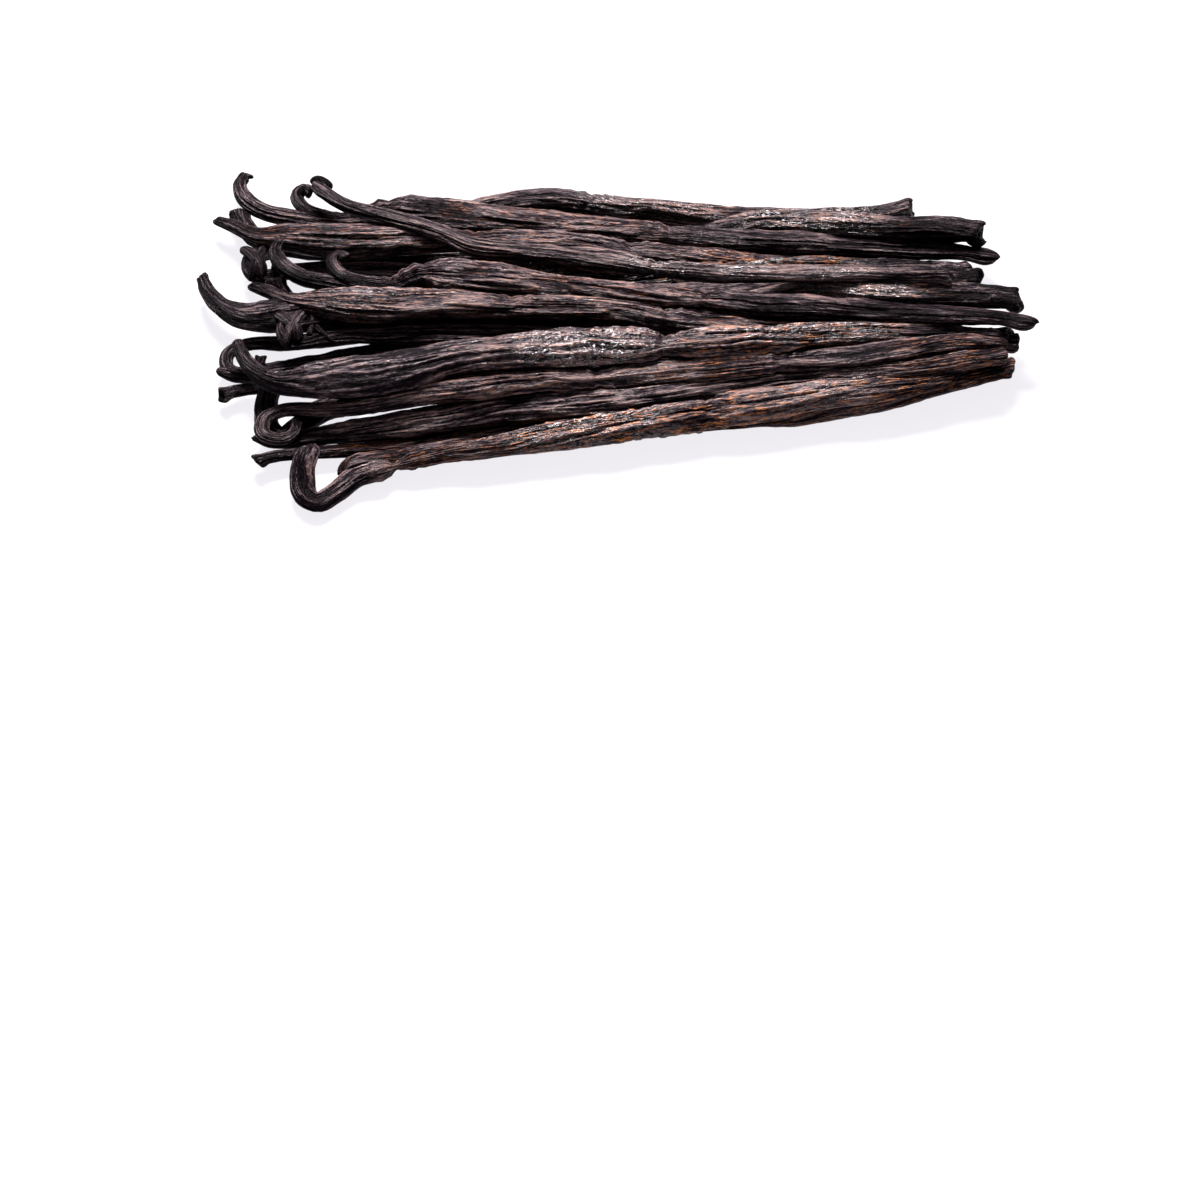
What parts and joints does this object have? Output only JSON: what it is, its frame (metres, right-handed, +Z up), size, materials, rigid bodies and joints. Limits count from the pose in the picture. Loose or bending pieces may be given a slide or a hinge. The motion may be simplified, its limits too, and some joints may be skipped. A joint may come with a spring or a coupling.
{
  "type": "bundle of vanilla pods",
  "caption": "Loose bundle of dark, wrinkled, cured vanilla pods with curled stem ends, lying flat as a cooking ingredient.",
  "frame": {"origin": "centre of the bundle's bounding box, on the table top that it lies on", "axes": "+X from the hooked stem ends to the blossom ends, +Y to the back of the bundle, +Z up"},
  "size_m": [0.1822, 0.093, 0.0157],
  "materials": {
    "pod_skin": "oily wrinkled dark brown skin with fine ridges along each pod"
  },
  "bodies": {
    "root": {"vanilla_pods": "pod_skin"}
  },
  "joints": []
}
